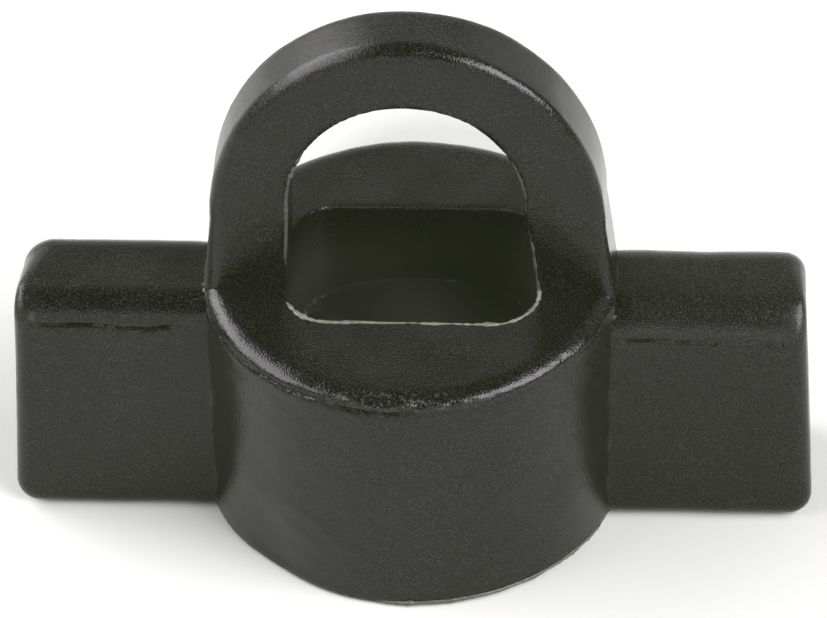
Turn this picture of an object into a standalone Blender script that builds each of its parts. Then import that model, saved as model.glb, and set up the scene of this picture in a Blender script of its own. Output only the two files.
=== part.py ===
"""Wing nut with an eye: a one-piece moulding that holds a knurled bush with a blind M10 thread.

Metres, +Z up. The seating face lies on Z = 0, the thread's axis is Z, and the wings lie along X.
"""

import math

import bmesh
import bpy

MM = 0.001

# Boss: a short, slightly tapered drum.
BOSS_TOP_RADIUS = 12.5 * MM
BOSS_FOOT_RADIUS = 12.9 * MM
BOSS_HEIGHT = 16.0 * MM
RIM_ROUNDING = 0.8 * MM
RIM_REACH = 1.2 * MM
FOOT_ROUNDING = 0.35 * MM

# Wings: two drafted blades that meet the boss in a nearly sharp inner corner.
WING_REACH_TOP = 23.6 * MM
WING_REACH_FOOT = 24.5 * MM
WING_HALF_THICKNESS_TOP = 3.5 * MM
WING_HALF_THICKNESS_FOOT = 4.7 * MM
WING_FOOT = 0.25 * MM
WING_TOP = 15.5 * MM
WING_TOP_ROUNDING = 1.6 * MM
WING_FOOT_ROUNDING = 0.3 * MM
WING_FOOT_CORNER = 1.2 * MM
WING_END_ROUNDING = 1.0 * MM
FILLET_RADIUS = 0.4 * MM

# Eye: a D-shaped loop, thicker at its feet than at its crown.
EYE_CROWN_HEIGHT = 33.5 * MM
EYE_SPRING_HEIGHT = 20.6 * MM
EYE_HALF_WIDTH = 11.7 * MM
EYE_FOOT_HALF_WIDTH = 12.25 * MM
EYE_HALF_THICKNESS_TOP = 2.15 * MM
EYE_HALF_THICKNESS_FOOT = 2.55 * MM
EYE_ROUNDING = 1.0 * MM
EYE_SUNK = 2.6 * MM
HOLE_CROWN_HEIGHT = 29.4 * MM
HOLE_SPRING_HEIGHT = 22.3 * MM
HOLE_HALF_WIDTH = 6.95 * MM

# Pocket in the top of the boss, as wide as the hole of the eye. Its floor is crowned about Y.
POCKET_HALF_WIDTH = 7.95 * MM
POCKET_HALF_DEPTH = 5.35 * MM
POCKET_CORNER_RADIUS = 2.8 * MM
POCKET_FLOOR_ROUNDING = 0.5 * MM
POCKET_FLOOR = 10.4 * MM
FLOOR_CROWN_RADIUS = 12.5 * MM

# Threaded bush, moulded in from below.
BUSH_RADIUS = 7.5 * MM
BUSH_FLANGE_RADIUS = 9.2 * MM
BUSH_FLANGE_THICKNESS = 1.4 * MM
BUSH_TOP = 7.4 * MM
BUSH_TOP_CHAMFER = 1.0 * MM
BUSH_RECESS = 0.2 * MM
BUSH_GROOVE_DEPTH = 0.7 * MM
BUSH_GROOVE_LOW = 3.1 * MM
BUSH_GROOVE_HIGH = 4.7 * MM
BUSH_KNURLS = 36
KNURL_DEPTH = 0.35 * MM
MOULDED_GAP = 0.3 * MM

THREAD_MAJOR_RADIUS = 5.0 * MM
THREAD_MINOR_RADIUS = 4.19 * MM
THREAD_PITCH = 1.5 * MM
THREAD_TOP = 6.2 * MM
THREAD_CHAMFER = 1.0 * MM

BOSS_SEGMENTS = 96
ARC_STEPS = 6
CROWN_STEPS = 10
THREAD_SEGMENTS = 48
THREAD_ROWS_PER_PITCH = 8


def clear_scene():
    for obj in list(bpy.data.objects):
        bpy.data.objects.remove(obj)


def material(name, colour, roughness, metallic):
    made = bpy.data.materials.new(name)
    made.use_nodes = True
    shader = made.node_tree.nodes["Principled BSDF"]
    shader.inputs["Base Color"].default_value = (*colour, 1.0)
    shader.inputs["Roughness"].default_value = roughness
    shader.inputs["Metallic"].default_value = metallic
    return made


def mesh_object(name, build):
    """A new object whose mesh is filled by build, with its faces turned outwards."""
    shape = bmesh.new()
    build(shape)
    bmesh.ops.recalc_face_normals(shape, faces=shape.faces)
    mesh = bpy.data.meshes.new(name)
    shape.to_mesh(mesh)
    shape.free()
    obj = bpy.data.objects.new(name, mesh)
    bpy.context.scene.collection.objects.link(obj)
    return obj


def join_rings(shape, rings):
    """Faces from ring to ring, all with the same number of points. Returns the rings' vertices."""
    loops = [[shape.verts.new(point) for point in ring] for ring in rings]
    for low, high in zip(loops, loops[1:]):
        for i in range(len(low)):
            j = (i + 1) % len(low)
            shape.faces.new((low[i], low[j], high[j], high[i]))
    return loops


def loft(shape, rings):
    """A closed solid through rings, with a flat face at each end."""
    loops = join_rings(shape, rings)
    shape.faces.new(loops[0])
    shape.faces.new(loops[-1])


def arc(centre, radius, start_deg, end_deg, steps=ARC_STEPS):
    """Points (u, v) along a circular arc, both ends included."""
    points = []
    for i in range(steps + 1):
        angle = math.radians(start_deg + (end_deg - start_deg) * i / steps)
        points.append((centre[0] + radius * math.cos(angle), centre[1] + radius * math.sin(angle)))
    return points


def blend(low, high, share):
    return low + (high - low) * share


def ring_of(radii, height):
    """Points round the axis at a height, one for each radius."""
    turn = 2 * math.pi / len(radii)
    return [
        (radius * math.cos(turn * i), radius * math.sin(turn * i), height)
        for i, radius in enumerate(radii)
    ]


def spin_profile(shape, profile, segments):
    """A solid of revolution about Z through (radius, height) points, from axis to axis."""
    loft(shape, [ring_of([radius] * segments, height) for radius, height in profile])


def boss_profile():
    """Half section of the boss as (radius, height). The rim is rounded more across than down."""
    foot = arc((BOSS_FOOT_RADIUS - FOOT_ROUNDING, FOOT_ROUNDING), FOOT_ROUNDING, -90, 0, 3)
    rim = [
        (BOSS_TOP_RADIUS - RIM_REACH * (1 - u), BOSS_HEIGHT - RIM_ROUNDING * (1 - v))
        for u, v in arc((0.0, 0.0), 1.0, 0, 90)
    ]
    return foot + rim


def wing_outline(reach, half_thickness):
    """Plan of both wings as one closed loop, anticlockwise, with a small fillet at each root.

    A fillet is tangent to the wing's flank and to the boss, so its centre lies one fillet radius
    off each of them.
    """
    centre_y = half_thickness + FILLET_RADIUS
    centre_x = math.sqrt((BOSS_TOP_RADIUS + FILLET_RADIUS) ** 2 - centre_y**2)
    lean = math.degrees(math.atan2(centre_y, centre_x))
    corner = WING_END_ROUNDING
    end = arc((reach - corner, half_thickness - corner), corner, 0, 90)
    root = arc((centre_x, centre_y), FILLET_RADIUS, 270, 180 + lean)
    inside = [(BOSS_TOP_RADIUS * 0.6 * math.cos(math.radians(lean)), centre_y)]
    quarter = end + root + inside
    left = [(-x, y) for x, y in reversed(quarter)]
    top = quarter + left
    return top + [(-x, -y) for x, y in top]


def rounded_inset(height, foot_rounding):
    """How far the skin is drawn in at a height by the rounding of the foot and of the top."""
    above_foot = height - WING_FOOT
    below_top = WING_TOP - height
    inset = 0.0
    for away, radius in ((above_foot, foot_rounding), (below_top, WING_TOP_ROUNDING)):
        if away < radius:
            inset = radius - math.sqrt(max(0.0, radius**2 - (radius - away) ** 2))
    return inset


def wing_level(height):
    """The wings' plan at a height. Their outer ends have a larger rounding at the foot."""
    share = (height - WING_FOOT) / (WING_TOP - WING_FOOT)
    reach = blend(WING_REACH_FOOT, WING_REACH_TOP, share)
    half = blend(WING_HALF_THICKNESS_FOOT, WING_HALF_THICKNESS_TOP, share)
    reach -= rounded_inset(height, WING_FOOT_CORNER)
    half -= rounded_inset(height, WING_FOOT_ROUNDING)
    return [(x, y, height) for x, y in wing_outline(reach, half)]


def build_wings(shape):
    foot = [
        WING_FOOT + radius * (1 - math.cos(math.radians(degrees)))
        for radius in (WING_FOOT_ROUNDING, WING_FOOT_CORNER)
        for degrees in (30, 60, 90)
    ]
    top = [z for _, z in arc((0.0, WING_TOP - WING_TOP_ROUNDING), WING_TOP_ROUNDING, 0, 90)]
    loft(shape, [wing_level(height) for height in sorted([WING_FOOT, *foot, *top])])


def d_outline(half_width, foot_half_width, spring, crown, foot):
    """A D standing on its straight side, as (x, z): drafted legs under half an ellipse."""
    steps = 4 * ARC_STEPS
    points = []
    for i in range(steps + 1):
        angle = math.pi * i / steps
        points.append((half_width * math.cos(angle), spring + (crown - spring) * math.sin(angle)))
    return [(foot_half_width, foot)] + points + [(-foot_half_width, foot)]


def eye_layer(side, inset, drawn):
    """One outline of the eye, on the -Y or +Y side. The eye is thickest at its feet."""
    outline = d_outline(
        EYE_HALF_WIDTH - inset,
        EYE_FOOT_HALF_WIDTH - inset,
        EYE_SPRING_HEIGHT,
        EYE_CROWN_HEIGHT - inset,
        BOSS_HEIGHT - EYE_SUNK,
    )
    layer = []
    for x, z in outline:
        share = (z - BOSS_HEIGHT) / (EYE_CROWN_HEIGHT - BOSS_HEIGHT)
        half = blend(EYE_HALF_THICKNESS_FOOT, EYE_HALF_THICKNESS_TOP, max(0.0, share))
        layer.append((x, side * (half - drawn), z))
    return layer


def build_eye(shape):
    edge = arc((0.0, 0.0), EYE_ROUNDING, 0, 90, 5)
    front = [eye_layer(-1, EYE_ROUNDING - v, EYE_ROUNDING - u) for u, v in edge]
    back = [eye_layer(1, EYE_ROUNDING - v, EYE_ROUNDING - u) for u, v in reversed(edge)]
    loft(shape, front + back)


def build_hole(shape):
    """The cutter for the eye's hole, which ends at the pocket's mouth."""
    reach = EYE_HALF_THICKNESS_FOOT + 2 * MM
    outline = d_outline(
        HOLE_HALF_WIDTH,
        POCKET_HALF_WIDTH,
        HOLE_SPRING_HEIGHT,
        HOLE_CROWN_HEIGHT,
        BOSS_HEIGHT,
    )
    loft(shape, [[(x, y, z) for x, z in outline] for y in (-reach, reach)])


def pocket_outline(inset):
    """Plan of the pocket as one closed loop. Its second half mirrors its first half in Y."""
    centre_x = POCKET_HALF_WIDTH - POCKET_CORNER_RADIUS
    centre_y = POCKET_HALF_DEPTH - POCKET_CORNER_RADIUS
    corner = POCKET_CORNER_RADIUS - inset
    quarter = arc((centre_x, centre_y), corner, 0, 90)
    side = [
        (centre_x * (1 - 2 * i / CROWN_STEPS), centre_y + corner) for i in range(1, CROWN_STEPS)
    ]
    half = quarter + side + [(-x, y) for x, y in reversed(quarter)]
    return half + [(x, -y) for x, y in reversed(half)]


def build_pocket(shape):
    """The cutter for the pocket, with a rounded floor edge. It reaches past the boss's top."""
    rounding = POCKET_FLOOR_ROUNDING
    rings = []
    for out, lift in arc((0.0, rounding), rounding, -90, 0, 4):
        ring = []
        for x, y in pocket_outline(rounding - out):
            ring.append((x, y, POCKET_FLOOR - x * x / (2 * FLOOR_CROWN_RADIUS) + lift))
        rings.append(ring)
    rings.append([(x, y, BOSS_HEIGHT + 0.5 * MM) for x, y in pocket_outline(0.0)])
    loops = join_rings(shape, rings)
    shape.faces.new(loops[-1])
    floor = loops[0]
    last = len(floor) - 1
    for i in range(len(floor) // 2 - 1):
        shape.faces.new((floor[i], floor[i + 1], floor[last - i - 1], floor[last - i]))


def bush_profile(gap):
    """Outside of the bush as (radius, height), grown by gap where the moulding closes on it."""
    groove = BUSH_RADIUS - BUSH_GROOVE_DEPTH + gap
    body = BUSH_RADIUS + gap
    shoulder = BUSH_FLANGE_THICKNESS + gap
    return [
        (BUSH_FLANGE_RADIUS + gap, shoulder),
        (body, shoulder),
        (body, BUSH_GROOVE_LOW + gap),
        (groove, BUSH_GROOVE_LOW + gap + BUSH_GROOVE_DEPTH / 2),
        (groove, BUSH_GROOVE_HIGH - gap - BUSH_GROOVE_DEPTH / 2),
        (body, BUSH_GROOVE_HIGH - gap),
        (body, BUSH_TOP + gap - BUSH_TOP_CHAMFER),
        (body - BUSH_TOP_CHAMFER, BUSH_TOP + gap),
    ]


def build_socket(shape):
    """The cutter that leaves room for the bush, open at the seating face."""
    flange = BUSH_FLANGE_RADIUS + MOULDED_GAP
    spin_profile(shape, [(flange, -1 * MM)] + bush_profile(MOULDED_GAP), BOSS_SEGMENTS)


def thread_radius(angle, height):
    """Radius of the M10 thread's wall: flat crests and roots joined by straight flanks."""
    phase = (height / THREAD_PITCH - angle / (2 * math.pi)) % 1.0
    from_root = abs(phase - 0.5) * 2
    share = min(1.0, max(0.0, (from_root - 0.125) / 0.625))
    return blend(THREAD_MAJOR_RADIUS, THREAD_MINOR_RADIUS, share)


def build_bush(shape):
    """The bush as one skin: up the knurled outside, and up the threaded wall from the mouth."""
    count = BUSH_KNURLS * 4
    rings = []
    for radius, height in [(BUSH_FLANGE_RADIUS, BUSH_RECESS)] + bush_profile(0.0):
        depth = KNURL_DEPTH if radius == BUSH_RADIUS else 0.0
        waves = [0.5 - 0.5 * math.cos(2 * math.pi * i / 4) for i in range(count)]
        rings.append(ring_of([radius - depth * wave for wave in waves], height))
    outer = join_rings(shape, rings)
    shape.faces.new(outer[-1])

    rows = round((THREAD_TOP - BUSH_RECESS) * THREAD_ROWS_PER_PITCH / THREAD_PITCH)
    rings = []
    for row in range(rows + 1):
        height = blend(BUSH_RECESS, THREAD_TOP, row / rows)
        chamfer = THREAD_MAJOR_RADIUS + THREAD_CHAMFER / 2 - (height - BUSH_RECESS)
        radii = [
            max(thread_radius(2 * math.pi * i / THREAD_SEGMENTS, height), chamfer)
            for i in range(THREAD_SEGMENTS)
        ]
        rings.append(ring_of(radii, height))
    inner = join_rings(shape, rings)
    shape.faces.new(inner[-1])

    share = count // THREAD_SEGMENTS
    for i in range(THREAD_SEGMENTS):
        edge = [outer[0][(i * share + j) % count] for j in range(share + 1)]
        shape.faces.new([inner[0][i], *edge, inner[0][(i + 1) % THREAD_SEGMENTS]])


def boolean(target, other, operation):
    step = target.modifiers.new(f"{operation.lower()}_{other.name}", "BOOLEAN")
    step.object = other
    step.operation = operation
    other.hide_render = True
    other.display_type = "WIRE"


def smooth_by_angle(obj, degrees):
    """Smooth shading, with an edge kept sharp where its faces meet at more than the angle."""
    mesh = obj.data
    shape = bmesh.new()
    shape.from_mesh(mesh)
    for face in shape.faces:
        face.smooth = True
    for edge in shape.edges:
        edge.smooth = edge.calc_face_angle(0.0) < math.radians(degrees)
    shape.to_mesh(mesh)
    shape.free()


def make_wing_body():
    body = mesh_object("wing_body", lambda shape: spin_profile(shape, boss_profile(), BOSS_SEGMENTS))
    tools = (
        ("wings", build_wings, "UNION"),
        ("eye", build_eye, "UNION"),
        ("eye_hole", build_hole, "DIFFERENCE"),
        ("top_pocket", build_pocket, "DIFFERENCE"),
        ("bush_socket", build_socket, "DIFFERENCE"),
    )
    smooth_by_angle(body, 30)
    for name, build, operation in tools:
        tool = mesh_object(name, build)
        smooth_by_angle(tool, 30)
        boolean(body, tool, operation)
    body.data.materials.append(material("black_nylon", (0.02, 0.02, 0.019), 0.45, 0.0))


def make_threaded_bush():
    bush = mesh_object("threaded_bush", build_bush)
    smooth_by_angle(bush, 30)
    bush.data.materials.append(material("brass", (0.72, 0.52, 0.24), 0.32, 1.0))


clear_scene()
make_wing_body()
make_threaded_bush()
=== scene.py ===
"""Looks of the wing nut with an eye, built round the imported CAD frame."""

import math

import bmesh
import bpy
import numpy as np
from mathutils import Matrix, Vector


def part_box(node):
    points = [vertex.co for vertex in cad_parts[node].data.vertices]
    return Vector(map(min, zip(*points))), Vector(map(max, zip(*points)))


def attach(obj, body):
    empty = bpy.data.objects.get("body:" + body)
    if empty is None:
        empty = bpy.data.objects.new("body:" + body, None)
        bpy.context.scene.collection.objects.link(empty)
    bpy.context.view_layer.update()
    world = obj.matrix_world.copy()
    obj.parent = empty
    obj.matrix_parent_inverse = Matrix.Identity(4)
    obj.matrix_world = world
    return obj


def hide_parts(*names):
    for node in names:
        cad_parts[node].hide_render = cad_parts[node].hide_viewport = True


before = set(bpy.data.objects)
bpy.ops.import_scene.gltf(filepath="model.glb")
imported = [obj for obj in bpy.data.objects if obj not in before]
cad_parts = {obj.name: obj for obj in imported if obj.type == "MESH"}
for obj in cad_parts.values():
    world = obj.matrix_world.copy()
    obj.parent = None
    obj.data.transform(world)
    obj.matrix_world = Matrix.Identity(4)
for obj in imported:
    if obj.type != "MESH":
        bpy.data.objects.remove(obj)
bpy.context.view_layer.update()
MM = 0.001

# Sizes that the CAD boxes give, in millimetres.
BODY_LOW, BODY_HIGH = (np.array(corner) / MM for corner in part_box("wing_body"))
EYE_CROWN = BODY_HIGH[2]
BOSS_FOOT_RADIUS = BODY_HIGH[1]

# Sizes of the moulding in millimetres. Most are the CAD source's, and the looks need some others.
BOSS_TOP_RADIUS = 12.5
BOSS_HEIGHT = 16.0
RIM_ROUNDING, RIM_REACH = 0.8, 1.2
FOOT_ROUNDING = 0.35
WING_REACH, WING_REACH_TOP = 24.5, 23.6
WING_HALF_TOP, WING_HALF_FOOT = 3.5, 4.8
WING_FOOT, WING_TOP = 0.12, 15.5
WING_TOP_ROUNDING, WING_RIGHT_TOP_ROUNDING = 1.65, 2.05
WING_END_TOP_ROUNDING, WING_END_ROUNDING, END_ROUNDING_DEPTH = 0.5, 1.0, 2.5
WING_BACK_END_ROUNDING, WORN_END_ROUNDING = 1.2, 1.8
WING_FOOT_CORNER, WING_FOOT_ROUNDING = 1.5, 0.3
EYE_SPRING = 20.6
EYE_HALF_WIDTH, EYE_FOOT_HALF_WIDTH = 11.7, 12.25
EYE_HALF_TOP, EYE_HALF_FOOT = 2.15, 2.55
EYE_FRONT_ROUNDING, EYE_BACK_ROUNDING, EYE_FRONT_FADE = 1.0, 0.6, (1.5, 6.0)
EYE_SUNK = 1.0
HOLE_SPRING, HOLE_CROWN = 22.3, 29.4
HOLE_HALF_WIDTH = 6.95
POCKET_LEFT, POCKET_RIGHT, POCKET_HALF_DEPTH = 7.3, 7.7, 5.35
POCKET_CORNER = 2.8
HOLE_FROM, POCKET_UP_TO = BOSS_HEIGHT + 1.0, BOSS_HEIGHT + 1.5
POCKET_FLOOR, POCKET_FLOOR_ROUNDING = 10.4, 0.28
FLOOR_CROWN_RADIUS = 12.5
EDGE_ROUNDING = 0.18
BUSH_RADIUS, BUSH_TOP, BUSH_TOP_CHAMFER = 7.5, 7.4, 1.0
FLANGE_RADIUS, FLANGE_TOP = 9.2, 1.4
MOULDED_GAP = 0.3

# The +X wing's top sags to the front as the square of the distance from a line.
SAG, SAG_LINE = 0.018, 1.5

# A shallow hollow low on the boss: its depth, its angle round the axis and half its width in
# radians, and the heights up to which it is full and at which it ends.
INSET_DEPTH, INSET_TURN, INSET_SPREAD = 0.2, -2.25, 0.26
INSET_FULL, INSET_END = 1.0, 6.0

# The parting line's groove, on the boss and, past BEYOND_BOSS, on the wings.
BEYOND_BOSS = 12.75
GROOVE_DEPTH, GROOVE_DEPTH_WAVE, GROOVE_WIDTH = 0.165, 0.03, 0.17
GROOVE_BELOW_RIM, GROOVE_BELOW_ROUNDING, GROOVE_FALL = 0.92, 0.12, 0.015
LEFT_WING_WEAR, RIGHT_WING_WEAR = 1.1, 0.8
RIM_GROOVE_LEAST, RIM_GROOVE_RISE = 0.22, 0.53
RIM_GROOVE_FADE, GROOVE_START_RADIUS, GROOVE_END = (-4.0, 2.0), (11.2, 11.8), (22.6, 23.4)

# The heights between which the skin's waviness sets in, so that the seat stays flat.
EVEN_FOOT = (0.05, 0.6)

# The skin's mesh: its cell, where a fold counts as a crease, and the share of a cell that points may move.
GRID = 0.27
CREASE_DEGREES = 38
SETTLE_SHARE, SHARPEN_REACH, SHARPEN_SHARE, REFINE_SHARE = 0.6, 0.5, 0.7, 0.3

# Where the mesh is cut finer: heights and radii at the rim, then the wings' line and the eye's edge.
RIM_HEIGHTS, RIM_RADII = (14.6, 16.3), (10.9, 12.9)
LINE_FROM, LINE_HEIGHT, LINE_REACH = 12.3, 13.6, 0.85
EYE_EDGE_REACH, EYE_EDGE_Y, EYE_EDGE_FROM = 1.1, -0.9, 16.3

# Ridges of flash: their radii, how deep they sit, and the heights and angles where they start and end.
FLASH_RADIUS, FLASH_SUNK = 0.15, 0.10
LEG_FLASH_THINNING, LEG_FLASH_FOOT = 0.25, (16.1, 16.9)
SEAT_FLASH_RADIUS, SEAT_FLASH_HEIGHT, SEAT_FLASH_SUNK = 0.12, 0.30, 0.04
LEFT_LEG_FLASH, RIGHT_LEG_FLASH = (26.3, 17.3), (16.1, 26.0)
LEFT_CORNER_FLASH, RIGHT_CORNER_FLASH, SEAT_FLASH = (196, 270), (270, 352), (262, 335)
FLASH_STEP, FLASH_SIDES, FLASH_TAPER = 0.12, 8, 0.8

# Colours.
NYLON_BLACK, NYLON_SPECK = (0.0005, 0.0005, 0.0004, 1.0), (0.0135, 0.0131, 0.0125, 1.0)
# The second colour on the next line, for the pocket, is painted light: lighter than the nylon, it stands
# in for light reaching into the pocket.
WING_HAZE, POCKET_PAINTED_LIGHT = (0.0042, 0.0040, 0.0037, 1.0), (0.0220, 0.0225, 0.0190, 1.0)
NYLON_SCUFF = (0.050, 0.049, 0.044, 1.0)
NYLON_TINT = (0.98, 0.93, 1.0, 1.0)
# The flash's pale colour on the next line is partly its scuffed skin and partly a painted highlight along
# its edge.
FLASH_BLACK, FLASH_SCUFF_AND_HIGHLIGHT = (0.010, 0.010, 0.008, 1.0), (0.125, 0.121, 0.104, 1.0)
BRASS_BRIGHT, BRASS_TARNISHED = (0.78, 0.58, 0.28, 1.0), (0.60, 0.41, 0.18, 1.0)
# The floor's second colour is a painted shadow, laid in a patch behind the boss.
FLOOR_WHITE, FLOOR_PAINTED_SHADOW = (0.49, 0.488, 0.478, 1.0), (0.32, 0.32, 0.315, 1.0)

# The floor's painted shadow behind the boss: its middle and its reach along X and Y, in metres.
SHADE_Y, SHADE_REACH_X, SHADE_REACH_Y = 0.024, 0.0125, 0.0155

# The surround's brightness, as (from, to, level at from, level at to) along Z or away from X = 0.
FRONT_FADE = (0.36, 0.58, 1.45, 0.04)
SIDE_FADE = (0.5, 0.92, 1.0, 0.15)
BACK_FADE = (0.25, 1.0, 0.92, 0.04)
FRONT_TO_BACK = (-0.25, 0.25, 0.0, 1.0)

# Softboxes: their place and size in metres, and their radiance. Both face LIT_POINT.
LEFT_SOFTBOX = ((-0.53, 0.08, 0.45), (1.10, 0.46), 8.0)
RIGHT_SOFTBOX = ((0.455, -0.21, 0.42), (0.55, 0.45), 12.4)
LIT_POINT = Vector((0.0, 0.0, 0.012))

# The level that each of red, green and blue has where the scene is black.
BLACK_LEVELS = (0.0125, 0.0145, 0.0070)

# The camera: where it stands round its target, in degrees and metres.
CAMERA_AZIMUTH, CAMERA_ELEVATION, CAMERA_ROLL = 3.9, 40.39, -1.618
CAMERA_TARGET = Vector((0.000098, 0.0, 0.012459))
CAMERA_DISTANCE = 0.260
CAMERA_LENS = 187.41


def rounded_max(a, b, radius):
    """Where two half-spaces meet in a convex edge, rounded to a radius."""
    edge = np.hypot(np.maximum(a + radius, 0.0), np.maximum(b + radius, 0.0))
    return np.minimum(-radius, np.maximum(a, b)) + edge


def ramp(value, low, high):
    """0 up to low, 1 from high on, and a straight slope between."""
    return np.clip((value - low) / (high - low), 0.0, 1.0)


def waves(x, y, z, wavelength, seed, count=7):
    """Smooth three-dimensional noise from -1 to 1, as a sum of sines in seeded directions."""
    random = np.random.default_rng(seed)
    total = np.zeros_like(x)
    for _ in range(count):
        direction = random.normal(size=3)
        direction *= 2 * math.pi / wavelength * random.uniform(0.7, 1.4) / np.linalg.norm(direction)
        total += np.sin(direction[0] * x + direction[1] * y + direction[2] * z + random.uniform(0, 6.28))
    return total / math.sqrt(count)


def d_shape(x, z, half_width, foot_half_width, spring, crown):
    """Distance from a D on its straight side: drafted legs under half an ellipse."""
    rise = crown - spring
    across, up = np.abs(x), np.maximum(z - spring, 0.0)
    ring = np.hypot(across / half_width, up / rise)
    slope = np.hypot(across / half_width**2, up / rise**2)
    arch = ring * (ring - 1.0) / np.maximum(slope, 1e-6)
    legs = across - half_width - (foot_half_width - half_width) * (spring - z) / (spring - BOSS_HEIGHT)
    return np.where(z > spring, arch, legs)


def top_rounding(x):
    """The rounding along the wings' tops, which is softer on the +X wing."""
    return np.where(x > 0, WING_RIGHT_TOP_ROUNDING, WING_TOP_ROUNDING)


def parting_groove(x, y, z, radius):
    """Depth of the wobbly groove that the parting line left below the rim and the wings' tops."""
    flat = 0.0 * z
    wobble = 0.06 * waves(x, y, flat, 4.0, 51) + 0.03 * waves(x, y, flat, 1.2, 52)
    on_wing = WING_TOP - top_rounding(x) - GROOVE_BELOW_ROUNDING
    on_wing = on_wing - GROOVE_FALL * np.maximum(x - BEYOND_BOSS, 0.0)
    level = np.where(np.abs(x) > BEYOND_BOSS, on_wing, BOSS_HEIGHT - GROOVE_BELOW_RIM)
    worn = RIM_GROOVE_LEAST + RIM_GROOVE_RISE * ramp(-x, *RIM_GROOVE_FADE)
    worn = np.where(x < -BEYOND_BOSS, LEFT_WING_WEAR, worn)
    worn = np.where(x > BEYOND_BOSS, RIGHT_WING_WEAR, worn)
    worn = worn * (1.0 - ramp(np.abs(x), *GROOVE_END)) * ramp(radius, *GROOVE_START_RADIUS)
    deep = GROOVE_DEPTH + GROOVE_DEPTH_WAVE * waves(x, y, flat, 5.0, 53)
    return deep * worn * np.exp(-(((z - level - wobble) / GROOVE_WIDTH) ** 2))


def boss_field(z, radius, turn):
    """Distance from the boss, with its elliptical rim and the hollow low on its side."""
    boss_radius = BOSS_FOOT_RADIUS + (BOSS_TOP_RADIUS - BOSS_FOOT_RADIUS) * z / BOSS_HEIGHT
    side = radius - boss_radius
    boss = rounded_max(side * RIM_ROUNDING / RIM_REACH, z - BOSS_HEIGHT, RIM_ROUNDING)
    inset = np.exp(-(((turn - INSET_TURN) / INSET_SPREAD) ** 2)) * ramp(-z, -INSET_END, -INSET_FULL)
    return rounded_max(boss + INSET_DEPTH * inset, -z, FOOT_ROUNDING)


def wings_field(x, y, z):
    """Distance from the two drafted wings, whose -X back corner is worn rounder."""
    share = (z - WING_FOOT) / (WING_TOP - WING_FOOT)
    end = np.abs(x) - (WING_REACH + (WING_REACH_TOP - WING_REACH) * share)
    flank = np.abs(y) - (WING_HALF_FOOT + (WING_HALF_TOP - WING_HALF_FOOT) * share)
    end = rounded_max(end, WING_FOOT - z, WING_FOOT_CORNER)
    flank = rounded_max(flank, WING_FOOT - z, WING_FOOT_ROUNDING)
    sag = np.where(x > 0, SAG, 0.0) * np.maximum(SAG_LINE - y, 0.0) ** 2
    wings = rounded_max(flank, z - WING_TOP + sag, top_rounding(x))
    down = ramp(WING_TOP - z, 0.0, END_ROUNDING_DEPTH)
    corner = WING_END_TOP_ROUNDING + (WING_END_ROUNDING - WING_END_TOP_ROUNDING) * down
    back_corner = np.where(x < 0, WORN_END_ROUNDING, WING_BACK_END_ROUNDING)
    corner = corner + (back_corner - corner) * ramp(y, -1.5, 1.5)
    return rounded_max(wings, end, corner)


def eye_field(x, y, z):
    """Distance from the eye, filled in."""
    eye = d_shape(x, z, EYE_HALF_WIDTH, EYE_FOOT_HALF_WIDTH, EYE_SPRING, EYE_CROWN)
    lift = (z - BOSS_HEIGHT) / (EYE_CROWN - BOSS_HEIGHT)
    face = np.abs(y) - (EYE_HALF_FOOT + (EYE_HALF_TOP - EYE_HALF_FOOT) * lift)
    front = EYE_FRONT_ROUNDING + (EYE_BACK_ROUNDING - EYE_FRONT_ROUNDING) * ramp(x, *EYE_FRONT_FADE)
    eye = rounded_max(eye, face, np.where(y > 0, EYE_BACK_ROUNDING, front))
    return np.maximum(eye, BOSS_HEIGHT - EYE_SUNK - z)


def opening_field(x, y, z):
    """Distance from the pocket and the hole of the eye above it, as one opening."""
    across, along = np.abs(x), np.abs(y)
    pocket_half = np.where(x > 0, POCKET_RIGHT, POCKET_LEFT)
    taper = pocket_half - (pocket_half - HOLE_HALF_WIDTH) * ramp(z, BOSS_HEIGHT, HOLE_SPRING)
    corner_x = across - (taper - POCKET_CORNER)
    corner_y = along - (POCKET_HALF_DEPTH - POCKET_CORNER)
    pocket = np.hypot(np.maximum(corner_x, 0.0), np.maximum(corner_y, 0.0))
    pocket += np.minimum(np.maximum(corner_x, corner_y), 0.0) - POCKET_CORNER
    floor = POCKET_FLOOR - across**2 / (2 * FLOOR_CROWN_RADIUS)
    pocket = rounded_max(pocket, floor - z, POCKET_FLOOR_ROUNDING)
    pocket = np.maximum(pocket, z - POCKET_UP_TO)
    hole = d_shape(x, z, HOLE_HALF_WIDTH, pocket_half, HOLE_SPRING, HOLE_CROWN)
    return np.minimum(pocket, np.maximum(hole, HOLE_FROM - z))


def socket_field(z, radius):
    """Distance from the bush's outside, let out by the gap round it."""
    flange = np.maximum(radius - FLANGE_RADIUS, z - FLANGE_TOP)
    barrel = np.maximum(radius - BUSH_RADIUS, z - BUSH_TOP)
    chamfer = (radius - BUSH_RADIUS + z - BUSH_TOP + BUSH_TOP_CHAMFER) / math.sqrt(2)
    return np.minimum(flange, np.maximum(barrel, chamfer)) - MOULDED_GAP


def rim_wear(x, y, z, radius):
    """Small dents along the rim, deepest in front of the eye and beside its +X foot."""
    near = (radius - BOSS_TOP_RADIUS + 0.25) ** 2 + (z - BOSS_HEIGHT + 0.25) ** 2
    worn = 0.25 + np.exp(-(((x + 0.5) / 4.5) ** 2)) + 0.25 * np.exp(-(((x - 11.5) / 1.0) ** 2))
    worn *= ramp(-y, 0.0, 3.0)
    dents = 0.032 * waves(x, y, z, 1.1, 21) + 0.02 * waves(x, y, z, 2.4, 22)
    return np.exp(-near / 0.5) * worn * dents


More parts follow.
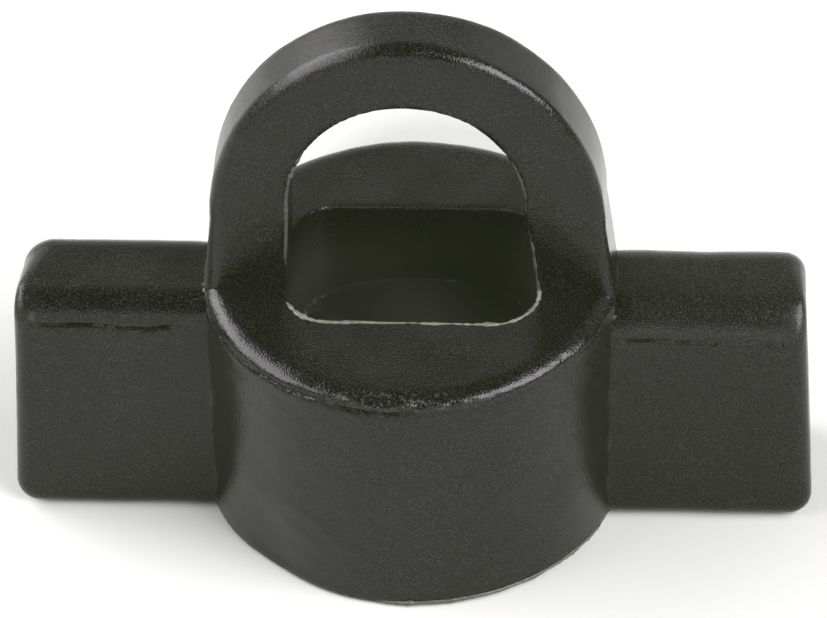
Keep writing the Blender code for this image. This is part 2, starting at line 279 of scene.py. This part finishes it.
def body_field(x, y, z):
    """Distance from the moulding's skin in millimetres, below zero inside it."""
    radius = np.hypot(x, y)
    boss = boss_field(z, radius, np.arctan2(y, x))
    body = np.maximum(np.minimum(boss, wings_field(x, y, z)), -z)
    body = np.minimum(body + parting_groove(x, y, z, radius), eye_field(x, y, z))
    body = rounded_max(body, -opening_field(x, y, z), EDGE_ROUNDING)
    body = np.maximum(body, -socket_field(z, radius)) + rim_wear(x, y, z, radius)
    uneven = 0.02 * waves(x, y, z, 6.0, 11) + 0.006 * waves(x, y, z, 1.6, 12)
    return body + ramp(z, *EVEN_FOOT) * uneven


def surface_net(field, low, high, step):
    """Points and quads of the field's zero level: one point in each cell that the skin crosses."""
    counts = np.ceil((high - low) / step).astype(int) + 1
    axes = [low[i] + step * np.arange(counts[i]) for i in range(3)]
    values = np.empty(counts, np.float32)
    for i, x in enumerate(axes[0]):
        y, z = np.meshgrid(axes[1], axes[2], indexing="ij")
        values[i] = field(np.full_like(y, x), y, z)
    inside = values < 0
    total = np.zeros((*(counts - 1), 3), np.float32)
    hits = np.zeros(counts - 1, np.int32)
    crossings = []
    for axis in range(3):
        near = [slice(None)] * 3
        far = [slice(None)] * 3
        near[axis], far[axis] = slice(None, -1), slice(1, None)
        crossed = inside[tuple(near)] != inside[tuple(far)]
        index = np.argwhere(crossed)
        index = index[((index > 0) | (np.arange(3) == axis)).all(1)]
        index = index[((index < counts - 1) | (np.arange(3) == axis)).all(1)]
        step_on = np.eye(3, dtype=int)[axis]
        first = values[tuple(index.T)]
        second = values[tuple((index + step_on).T)]
        place = index + np.outer(first / (first - second), step_on)
        u, v = np.eye(3, dtype=int)[(axis + 1) % 3], np.eye(3, dtype=int)[(axis + 2) % 3]
        cells = [index - u - v, index - v, index, index - u]
        for cell in cells:
            np.add.at(total, tuple(cell.T), place)
            np.add.at(hits, tuple(cell.T), 1)
        crossings.append((cells, first < 0))
    number = np.full(counts - 1, -1)
    used = hits > 0
    number[used] = np.arange(used.sum())
    points = low + step * total[used] / hits[used][:, None]
    quads = []
    for cells, outward in crossings:
        quad = np.stack([number[tuple(cell.T)] for cell in cells], axis=1)
        quad[~outward] = quad[~outward][:, ::-1]
        quads.append(quad)
    return points.astype(float), np.concatenate(quads)


def gradient(field, points, reach=0.01):
    """The field's slope along X, Y and Z at each point."""
    slopes = []
    for axis in range(3):
        shift = np.eye(3)[axis] * reach
        slopes.append(field(*(points + shift).T) - field(*(points - shift).T))
    return np.stack(slopes, axis=1) / (2 * reach)


def settle(field, points, most, rounds=3):
    """Moves points onto the field's zero level, each by no more than a set distance."""
    start = points.copy()
    for _ in range(rounds):
        slope = gradient(field, points)
        size = np.maximum((slope**2).sum(1), 0.2)
        points = points - (field(*points.T) / size)[:, None] * slope
        away = points - start
        length = np.linalg.norm(away, axis=1)
        points = start + away * np.minimum(1.0, most / np.maximum(length, 1e-9))[:, None]
    return points


def sharpen(field, points, reach, most):
    """Moves points to where the skin's sides meet, so that a crease runs through them."""
    pull = np.tile(0.04 * np.eye(3), (len(points), 1, 1))
    aim = 0.04 * points
    for corner in range(8):
        offset = reach * (np.array([corner & 1, corner >> 1 & 1, corner >> 2]) - 0.5)
        near = settle(field, points + offset, reach, 1)
        normal = gradient(field, near)
        normal /= np.maximum(np.linalg.norm(normal, axis=1), 1e-6)[:, None]
        pull += normal[:, :, None] * normal[:, None, :]
        aim += normal * (normal * near).sum(1)[:, None]
    away = np.linalg.solve(pull, aim[:, :, None])[:, :, 0] - points
    length = np.linalg.norm(away, axis=1)
    return points + away * np.minimum(1.0, most / np.maximum(length, 1e-9))[:, None]


def between(value, limits):
    return (value > limits[0]) & (value < limits[1])


def needs_detail(points):
    """True for points near the rim, the wings' parting line and the eye's outer front edge."""
    x, y, z = points.T
    radius = np.hypot(x, y)
    rim = between(z, RIM_HEIGHTS) & between(radius, RIM_RADII)
    line = (np.abs(x) > LINE_FROM) & (np.abs(z - LINE_HEIGHT) < LINE_REACH)
    outline = d_shape(x, z, EYE_HALF_WIDTH, EYE_FOOT_HALF_WIDTH, EYE_SPRING, EYE_CROWN)
    eye = (np.abs(outline) < EYE_EDGE_REACH) & (y < EYE_EDGE_Y) & (z > EYE_EDGE_FROM)
    return rim | line | eye


def refine(mesh, field):
    """Cuts the faces that need detail in four and settles their new points on the skin."""
    shape = bmesh.new()
    shape.from_mesh(mesh)
    faces = list(shape.faces)
    middle = np.array([face.calc_center_median() for face in faces]) / MM
    chosen = [face for face, wanted in zip(faces, needs_detail(middle)) if wanted]
    edges = list({edge for face in chosen for edge in face.edges})
    old = len(shape.verts)
    bmesh.ops.subdivide_edges(shape, edges=edges, cuts=1, use_grid_fill=True)
    shape.verts.ensure_lookup_table()
    fresh = shape.verts[old:]
    points = np.array([vert.co for vert in fresh]) / MM
    for vert, point in zip(fresh, settle(field, points, REFINE_SHARE * GRID) * MM):
        vert.co = point
    shape.to_mesh(mesh)
    shape.free()


def mesh_piece(name, points, faces):
    mesh = bpy.data.meshes.new(name)
    mesh.from_pydata([tuple(point) for point in points * MM], [], [list(face) for face in faces])
    mesh.polygons.foreach_set("use_smooth", np.ones(len(mesh.polygons), bool))
    mesh.update()
    piece = bpy.data.objects.new(name, mesh)
    bpy.context.scene.collection.objects.link(piece)
    return piece


def make_body():
    margin = 2 * GRID
    points, quads = surface_net(body_field, BODY_LOW - margin, BODY_HIGH + margin, GRID)
    points = settle(body_field, points, SETTLE_SHARE * GRID)
    points = sharpen(body_field, points, SHARPEN_REACH * GRID, SHARPEN_SHARE * GRID)
    body = mesh_piece("moulded_body", points, quads.tolist())
    refine(body.data, body_field)
    body.data.set_sharp_from_angle(angle=math.radians(CREASE_DEGREES))
    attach(body, "root")
    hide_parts("wing_body")
    return body


def hole_edge(side, height):
    """A point on the front edge of the eye's hole, on the -X or +X side."""
    if height < HOLE_SPRING:
        share = (height - BOSS_HEIGHT) / (HOLE_SPRING - BOSS_HEIGHT)
        foot = POCKET_RIGHT if side > 0 else POCKET_LEFT
        half = foot + (HOLE_HALF_WIDTH - foot) * share
    else:
        half = HOLE_HALF_WIDTH * math.sqrt(1 - ((height - HOLE_SPRING) / (HOLE_CROWN - HOLE_SPRING)) ** 2)
    lift = (height - BOSS_HEIGHT) / (EYE_CROWN - BOSS_HEIGHT)
    front = EYE_HALF_FOOT + (EYE_HALF_TOP - EYE_HALF_FOOT) * lift
    return (side * (half + FLASH_SUNK), FLASH_SUNK - front, height)


def arc(middle, radius, height, degrees, count):
    """Points round an arc at one height, from one angle to another."""
    points = []
    for turn in np.linspace(*degrees, count):
        turn = math.radians(turn)
        points.append((middle[0] + radius * math.cos(turn), middle[1] + radius * math.sin(turn), height))
    return points


def flash_paths():
    """Centre lines of the flash: up each leg, round the pocket's front, and along the boss's foot."""
    left_x, right_x = POCKET_CORNER - POCKET_LEFT, POCKET_RIGHT - POCKET_CORNER
    corner_y = POCKET_CORNER - POCKET_HALF_DEPTH
    radius, height = POCKET_CORNER + FLASH_SUNK, BOSS_HEIGHT - FLASH_SUNK
    left = [hole_edge(-1, h) for h in np.linspace(*LEFT_LEG_FLASH, 50)]
    front = arc((left_x, corner_y), radius, height, LEFT_CORNER_FLASH, 16)
    front += [(x, corner_y - radius, height) for x in np.linspace(left_x, right_x, 60)[1:-1]]
    front += arc((right_x, corner_y), radius, height, RIGHT_CORNER_FLASH, 16)
    front += [hole_edge(1, h) for h in np.linspace(*RIGHT_LEG_FLASH, 56)]
    seat = arc((0.0, 0.0), BOSS_FOOT_RADIUS - SEAT_FLASH_SUNK, SEAT_FLASH_HEIGHT, SEAT_FLASH, 90)
    return [np.array(left), np.array(front), np.array(seat)]


def waves_along(at, wavelength, seed):
    """Smooth noise along a line."""
    return waves(at, at * 0, at * 0, wavelength, seed)


def make_flash():
    """Thin uneven ridges of flash, swept round their centre lines and tapered to their ends."""
    points, faces = [], []
    sides = FLASH_SIDES
    for path in flash_paths():
        steps = np.linalg.norm(np.diff(path, axis=0), axis=1)
        run = np.concatenate([[0.0], np.cumsum(steps)])
        count = int(run[-1] / FLASH_STEP)
        at = np.linspace(0.0, run[-1], count)
        centre = np.stack([np.interp(at, run, path[:, i]) for i in range(3)], axis=1)
        centre += 0.014 * np.stack([waves_along(at, 2.4, 31 + i) for i in range(3)], axis=1)
        along = np.gradient(centre, axis=0)
        along /= np.linalg.norm(along, axis=1)[:, None]
        across = np.cross(along, (0.31, -0.9, 0.3))
        across /= np.linalg.norm(across, axis=1)[:, None]
        outward = np.cross(across, along)
        size = SEAT_FLASH_RADIUS if path[0, 2] < 1.0 else FLASH_RADIUS
        size = size * (1.0 - LEG_FLASH_THINNING * ramp(centre[:, 2], *LEG_FLASH_FOOT))
        size *= np.minimum(1.0, np.minimum(at, run[-1] - at) / FLASH_TAPER + 0.05)
        size *= 1.0 + 0.22 * waves_along(at, 1.7, 41)
        size *= 1.0 + 0.15 * waves_along(at, 0.5, 42)
        first = len(points)
        for i in range(count):
            for k in range(sides):
                turn = 2 * math.pi * k / sides
                side = math.cos(turn) * across[i] + math.sin(turn) * outward[i]
                points.append(centre[i] + size[i] * side)
        for i in range(count - 1):
            for k in range(sides):
                a, b = first + i * sides + k, first + i * sides + (k + 1) % sides
                faces.append([a, b, b + sides, a + sides])
        faces.append([first + k for k in reversed(range(sides))])
        faces.append([first + (count - 1) * sides + k for k in range(sides)])
    flash = mesh_piece("core_flash", np.array(points), faces)
    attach(flash, "root")
    return flash


class Nodes:
    """A short way to write a material's node tree."""

    def __init__(self, name):
        self.material = bpy.data.materials.new(name)
        self.material.use_nodes = True
        self.tree = self.material.node_tree
        self.shader = self.tree.nodes["Principled BSDF"]

    def node(self, kind, settings=None, **inputs):
        made = self.tree.nodes.new(kind)
        for name, value in (settings or {}).items():
            setattr(made, name, value)
        for name, value in inputs.items():
            self.feed(made.inputs[name.replace("_", " ")], value)
        return made

    def feed(self, socket, value):
        if isinstance(value, bpy.types.NodeSocket):
            self.tree.links.new(value, socket)
        else:
            socket.default_value = value


def math_node(n, operation, *values):
    made = n.node("ShaderNodeMath", {"operation": operation})
    for socket, value in zip(made.inputs, values):
        n.feed(socket, value)
    return made.outputs["Value"]


def product(n, value, *others):
    """All the values multiplied."""
    for other in others:
        value = math_node(n, "MULTIPLY", value, other)
    return value


def spread(n, value, low, high, to_low, to_high):
    """A value from one range spread over another, held at its ends."""
    made = n.node("ShaderNodeMapRange", Value=value)
    for name, number in zip(("From Min", "From Max", "To Min", "To Max"), (low, high, to_low, to_high)):
        n.feed(made.inputs[name], number)
    return made.outputs["Result"]


def rising(n, value, low, high):
    """0 up to low and 1 from high on, both in millimetres."""
    return spread(n, value, low * MM, high * MM, 0.0, 1.0)


def falling(n, value, low, high):
    """1 up to low and 0 from high on, both in millimetres."""
    return spread(n, value, low * MM, high * MM, 1.0, 0.0)


def noise(n, place, scale, detail, roughness=0.5):
    made = n.node("ShaderNodeTexNoise", Vector=place, Scale=scale, Detail=detail, Roughness=roughness)
    return made.outputs["Fac"]


def blend(n, factor, first, second, kind="MIX"):
    """Two colours mixed, or the second added, by a factor."""
    made = n.node("ShaderNodeMix", {"data_type": "RGBA", "blend_type": kind})
    for name, value in (("Factor", factor), ("A", first), ("B", second)):
        n.feed(made.inputs[name], value)
    return made.outputs["Result"]


def bump(n, height, strength, distance):
    """A bump node, whose Normal input stays free for a finer bump."""
    return n.node("ShaderNodeBump", Height=height, Strength=strength, Distance=distance)


def axes_of(n, place):
    """The X, Y and Z outputs of a place."""
    axes = n.node("ShaderNodeSeparateXYZ", Vector=place)
    return [axes.outputs[name] for name in "XYZ"]


def on_left_of_eye(n, place):
    """1 on the -X half of the eye, whose skin is duller."""
    x, _, z = axes_of(n, place)
    return product(n, falling(n, x, -3.0, 1.5), rising(n, z, 18.0, 22.0))


def on_right_wing(n, place):
    """1 on the top and upper rounding of the +X wing, whose skin is duller."""
    x, _, z = axes_of(n, place)
    return product(n, rising(n, x, 12.3, 13.5), rising(n, z, 13.0, 14.0))


def pocket_light_mask(n, place):
    """1 low in the pocket, fading to 0 below its mouth; the colour laid there is painted light standing in
    for light reaching into the pocket.
    """
    x, y, z = axes_of(n, place)
    inside_x = math_node(n, "LESS_THAN", math_node(n, "ABSOLUTE", x), 8.4 * MM)
    inside_y = math_node(n, "LESS_THAN", math_node(n, "ABSOLUTE", y), 5.8 * MM)
    above = math_node(n, "GREATER_THAN", z, 7.6 * MM)
    return product(n, inside_x, inside_y, above, falling(n, z, 11.8, 15.0))


def at_tips(n, place):
    """1 on the upper front corner of each wing's end."""
    x, y, z = axes_of(n, place)
    across = math_node(n, "ABSOLUTE", x)
    return product(n, rising(n, across, 21.8, 23.2), rising(n, z, 13.2, 14.2), falling(n, y, -3.0, -1.2))


def scuffs(n, place):
    """Pale chips at the wings' upper front corners and pale flecks along the front of the rim."""
    _, y, z = axes_of(n, place)
    chips = spread(n, noise(n, place, 1500.0, 3.0, 0.65), 0.56, 0.64, 0.0, 0.7)
    flecks = spread(n, noise(n, place, 3600.0, 2.0, 0.6), 0.54, 0.66, 0.0, 0.8)
    rim = product(n, falling(n, y, -12.2, -11.2), rising(n, z, 15.1, 15.5), flecks)
    return math_node(n, "MAXIMUM", product(n, at_tips(n, place), chips), rim)


def nylon_material():
    """Satin black nylon: fine grain, broader pits, duller and scuffed places, and painted light low in the
    pocket.
    """
    n = Nodes("black_nylon_moulded")
    place = n.node("ShaderNodeTexCoord").outputs["Object"]
    cloud = noise(n, place, 260.0, 3.0, 0.55)
    specks = spread(n, noise(n, place, 10500.0, 0.0), 0.50, 0.66, 0.0, 1.0)
    specks = product(n, specks, spread(n, cloud, 0.3, 0.7, 0.7, 1.1))
    colour = blend(n, specks, NYLON_BLACK, NYLON_SPECK)
    colour = blend(n, on_right_wing(n, place), colour, WING_HAZE, "ADD")
    # Painted light: a lighter colour low in the pocket stands in for light reaching into it.
    colour = blend(n, pocket_light_mask(n, place), colour, POCKET_PAINTED_LIGHT)
    colour = blend(n, scuffs(n, place), colour, NYLON_SCUFF)
    n.feed(n.shader.inputs["Base Color"], colour)

    rough = spread(n, cloud, 0.3, 0.7, 0.11, 0.16)
    rough = math_node(n, "ADD", rough, product(n, at_tips(n, place), 0.24))
    rough = math_node(n, "ADD", rough, product(n, on_left_of_eye(n, place), 0.13))
    n.feed(n.shader.inputs["Roughness"], rough)
    n.feed(n.shader.inputs["Specular IOR Level"], 0.28)
    n.feed(n.shader.inputs["Specular Tint"], NYLON_TINT)

    fine = bump(n, noise(n, place, 8600.0, 1.0), 0.8, 0.03 * MM)
    broad = bump(n, noise(n, place, 1500.0, 3.0, 0.6), 0.3, 0.02 * MM)
    n.feed(broad.inputs["Normal"], fine.outputs["Normal"])
    n.feed(n.shader.inputs["Normal"], broad.outputs["Normal"])
    return n.material


def flash_material():
    """Flash: the same nylon, paler where it is scuffed, with a painted highlight along its edge that is
    strongest round the pocket's front.
    """
    n = Nodes("black_nylon_flash")
    place = n.node("ShaderNodeTexCoord").outputs["Object"]
    height = axes_of(n, place)[2]
    grain = noise(n, place, 6000.0, 2.0, 0.6)
    # Pale colour: partly scuffed skin, partly a painted highlight where light catches the flash's edge.
    pale = spread(n, noise(n, place, 900.0, 3.0, 0.6), 0.30, 0.62, 0.45, 1.0)
    on_legs = spread(n, height, 16.0 * MM, 16.6 * MM, 1.1, 0.30)
    at_foot = spread(n, height, 4.0 * MM, 12.0 * MM, 0.40, 1.0)
    pale = product(n, pale, on_legs, at_foot, spread(n, grain, 0.3, 0.7, 0.75, 1.15))
    n.feed(n.shader.inputs["Base Color"], blend(n, pale, FLASH_BLACK, FLASH_SCUFF_AND_HIGHLIGHT))
    n.feed(n.shader.inputs["Roughness"], spread(n, grain, 0.3, 0.7, 0.35, 0.6))
    n.feed(n.shader.inputs["Normal"], bump(n, grain, 0.6, 0.03 * MM).outputs["Normal"])
    return n.material


def brass_material():
    """Turned brass: fine rings round the axis, with a faint tarnish."""
    n = Nodes("brass_turned")
    place = n.node("ShaderNodeTexCoord").outputs["Object"]
    x, y, z = axes_of(n, place)
    radius = math_node(n, "SQRT", math_node(n, "ADD", product(n, x, x), product(n, y, y)))
    ring = n.node("ShaderNodeCombineXYZ", X=radius, Z=z)
    turned = noise(n, ring.outputs["Vector"], 9000.0, 2.0)
    tarnish = noise(n, place, 420.0, 4.0, 0.6)
    colour = blend(n, spread(n, tarnish, 0.35, 0.7, 0.0, 1.0), BRASS_BRIGHT, BRASS_TARNISHED)
    n.feed(n.shader.inputs["Base Color"], colour)
    n.feed(n.shader.inputs["Metallic"], 1.0)
    n.feed(n.shader.inputs["Roughness"], spread(n, tarnish, 0.3, 0.7, 0.22, 0.42))
    n.feed(n.shader.inputs["Normal"], bump(n, turned, 0.35, 0.01 * MM).outputs["Normal"])
    return n.material


def use_material(piece, made):
    piece.data.materials.clear()
    piece.data.materials.append(made)


def make_floor():
    """A matt white floor with a soft painted shadow behind the boss."""
    shape = bmesh.new()
    bmesh.ops.create_grid(shape, x_segments=1, y_segments=1, size=1.5)
    mesh = bpy.data.meshes.new("floor")
    shape.to_mesh(mesh)
    shape.free()
    floor = bpy.data.objects.new("floor", mesh)
    bpy.context.scene.collection.objects.link(floor)
    n = Nodes("floor_white")
    place = n.node("ShaderNodeTexCoord").outputs["Object"]
    behind = n.node("ShaderNodeMapping", Vector=place)
    n.feed(behind.inputs["Location"], (0.0, -SHADE_Y / SHADE_REACH_Y, 0.0))
    n.feed(behind.inputs["Scale"], (1 / SHADE_REACH_X, 1 / SHADE_REACH_Y, 1.0))
    away = n.node("ShaderNodeVectorMath", {"operation": "LENGTH"})
    n.feed(away.inputs[0], behind.outputs["Vector"])
    # Painted shadow: the floor is darkened in a soft patch behind the boss.
    shaded = spread(n, away.outputs["Value"], 0.62, 1.0, 1.0, 0.0)
    n.feed(n.shader.inputs["Base Color"], blend(n, shaded, FLOOR_WHITE, FLOOR_PAINTED_SHADOW))
    n.feed(n.shader.inputs["Roughness"], 0.9)
    n.feed(n.shader.inputs["Specular IOR Level"], 0.0)
    use_material(floor, n.material)


def add_softbox(name, place, size, radiance):
    """A lit rectangle that faces the object."""
    light = bpy.data.lights.new(name, "AREA")
    light.shape = "RECTANGLE"
    light.size, light.size_y = size
    light.energy = radiance * math.pi * size[0] * size[1]
    box = bpy.data.objects.new(name, light)
    bpy.context.scene.collection.objects.link(box)
    box.location = place
    box.rotation_euler = (LIT_POINT - Vector(place)).to_track_quat("-Z", "Y").to_euler()
    box.visible_camera = False


def make_world():
    """White sweep round the horizon: dark above a low edge in front, and fading upwards behind."""
    world = bpy.data.worlds.new("studio")
    bpy.context.scene.world = world
    world.use_nodes = True
    tree = world.node_tree
    place = tree.nodes.new("ShaderNodeTexCoord")
    axes = tree.nodes.new("ShaderNodeSeparateXYZ")
    tree.links.new(place.outputs["Generated"], axes.inputs["Vector"])

    def fade(source, from_low, from_high, to_low, to_high):
        made = tree.nodes.new("ShaderNodeMapRange")
        made.interpolation_type = "SMOOTHSTEP"
        numbers = (from_low, from_high, to_low, to_high)
        for name, value in zip(("From Min", "From Max", "To Min", "To Max"), numbers):
            made.inputs[name].default_value = value
        tree.links.new(source, made.inputs["Value"])
        return made.outputs["Result"]

    mix = tree.nodes.new("ShaderNodeMix")
    tree.links.new(fade(axes.outputs["Y"], *FRONT_TO_BACK), mix.inputs["Factor"])
    tree.links.new(fade(axes.outputs["Z"], *FRONT_FADE), mix.inputs["A"])
    tree.links.new(fade(axes.outputs["Z"], *BACK_FADE), mix.inputs["B"])
    aside = tree.nodes.new("ShaderNodeMath")
    aside.operation = "ABSOLUTE"
    tree.links.new(axes.outputs["X"], aside.inputs[0])
    dimmed = tree.nodes.new("ShaderNodeMath")
    dimmed.operation = "MULTIPLY"
    tree.links.new(mix.outputs["Result"], dimmed.inputs[0])
    tree.links.new(fade(aside.outputs["Value"], *SIDE_FADE), dimmed.inputs[1])
    background = tree.nodes["Background"]
    tree.links.new(dimmed.outputs["Value"], background.inputs["Strength"])
    background.inputs["Color"].default_value = (1.0, 1.0, 1.0, 1.0)


def make_lights():
    add_softbox("left_softbox", *LEFT_SOFTBOX)
    add_softbox("right_softbox", *RIGHT_SOFTBOX)


def lift_blacks():
    """The veil that a bright surround throws over the darkest tones."""
    settings = bpy.context.scene.view_settings
    settings.use_curve_mapping = True
    curves = settings.curve_mapping.curves
    for curve, level in zip(curves, BLACK_LEVELS):
        curve.points[0].location = (0.0, level)
        curve.points[1].location = (1.0, 1.0)
    settings.curve_mapping.update()


def make_camera():
    azimuth, elevation = math.radians(CAMERA_AZIMUTH), math.radians(CAMERA_ELEVATION)
    back = Vector(
        (
            math.sin(azimuth) * math.cos(elevation),
            -math.cos(azimuth) * math.cos(elevation),
            math.sin(elevation),
        )
    )
    right = (-back).cross(Vector((0, 0, 1))).normalized()
    up = right.cross(-back)
    turn = Matrix.Rotation(math.radians(CAMERA_ROLL), 3, back)
    axes = Matrix((turn @ right, turn @ up, back)).transposed()
    data = bpy.data.cameras.new("camera")
    data.lens = CAMERA_LENS
    data.sensor_width = 36.0
    data.sensor_fit = "HORIZONTAL"
    data.clip_start, data.clip_end = 0.01, 20.0
    camera = bpy.data.objects.new("camera", data)
    bpy.context.scene.collection.objects.link(camera)
    camera.matrix_world = Matrix.Translation(CAMERA_TARGET + back * CAMERA_DISTANCE) @ axes.to_4x4()
    bpy.context.scene.camera = camera


make_camera()
make_floor()
make_lights()
make_world()
bpy.context.scene.view_settings.view_transform = "Standard"
lift_blacks()
use_material(make_body(), nylon_material())
use_material(make_flash(), flash_material())
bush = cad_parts["threaded_bush"]
bush.material_slots[0].material = brass_material()
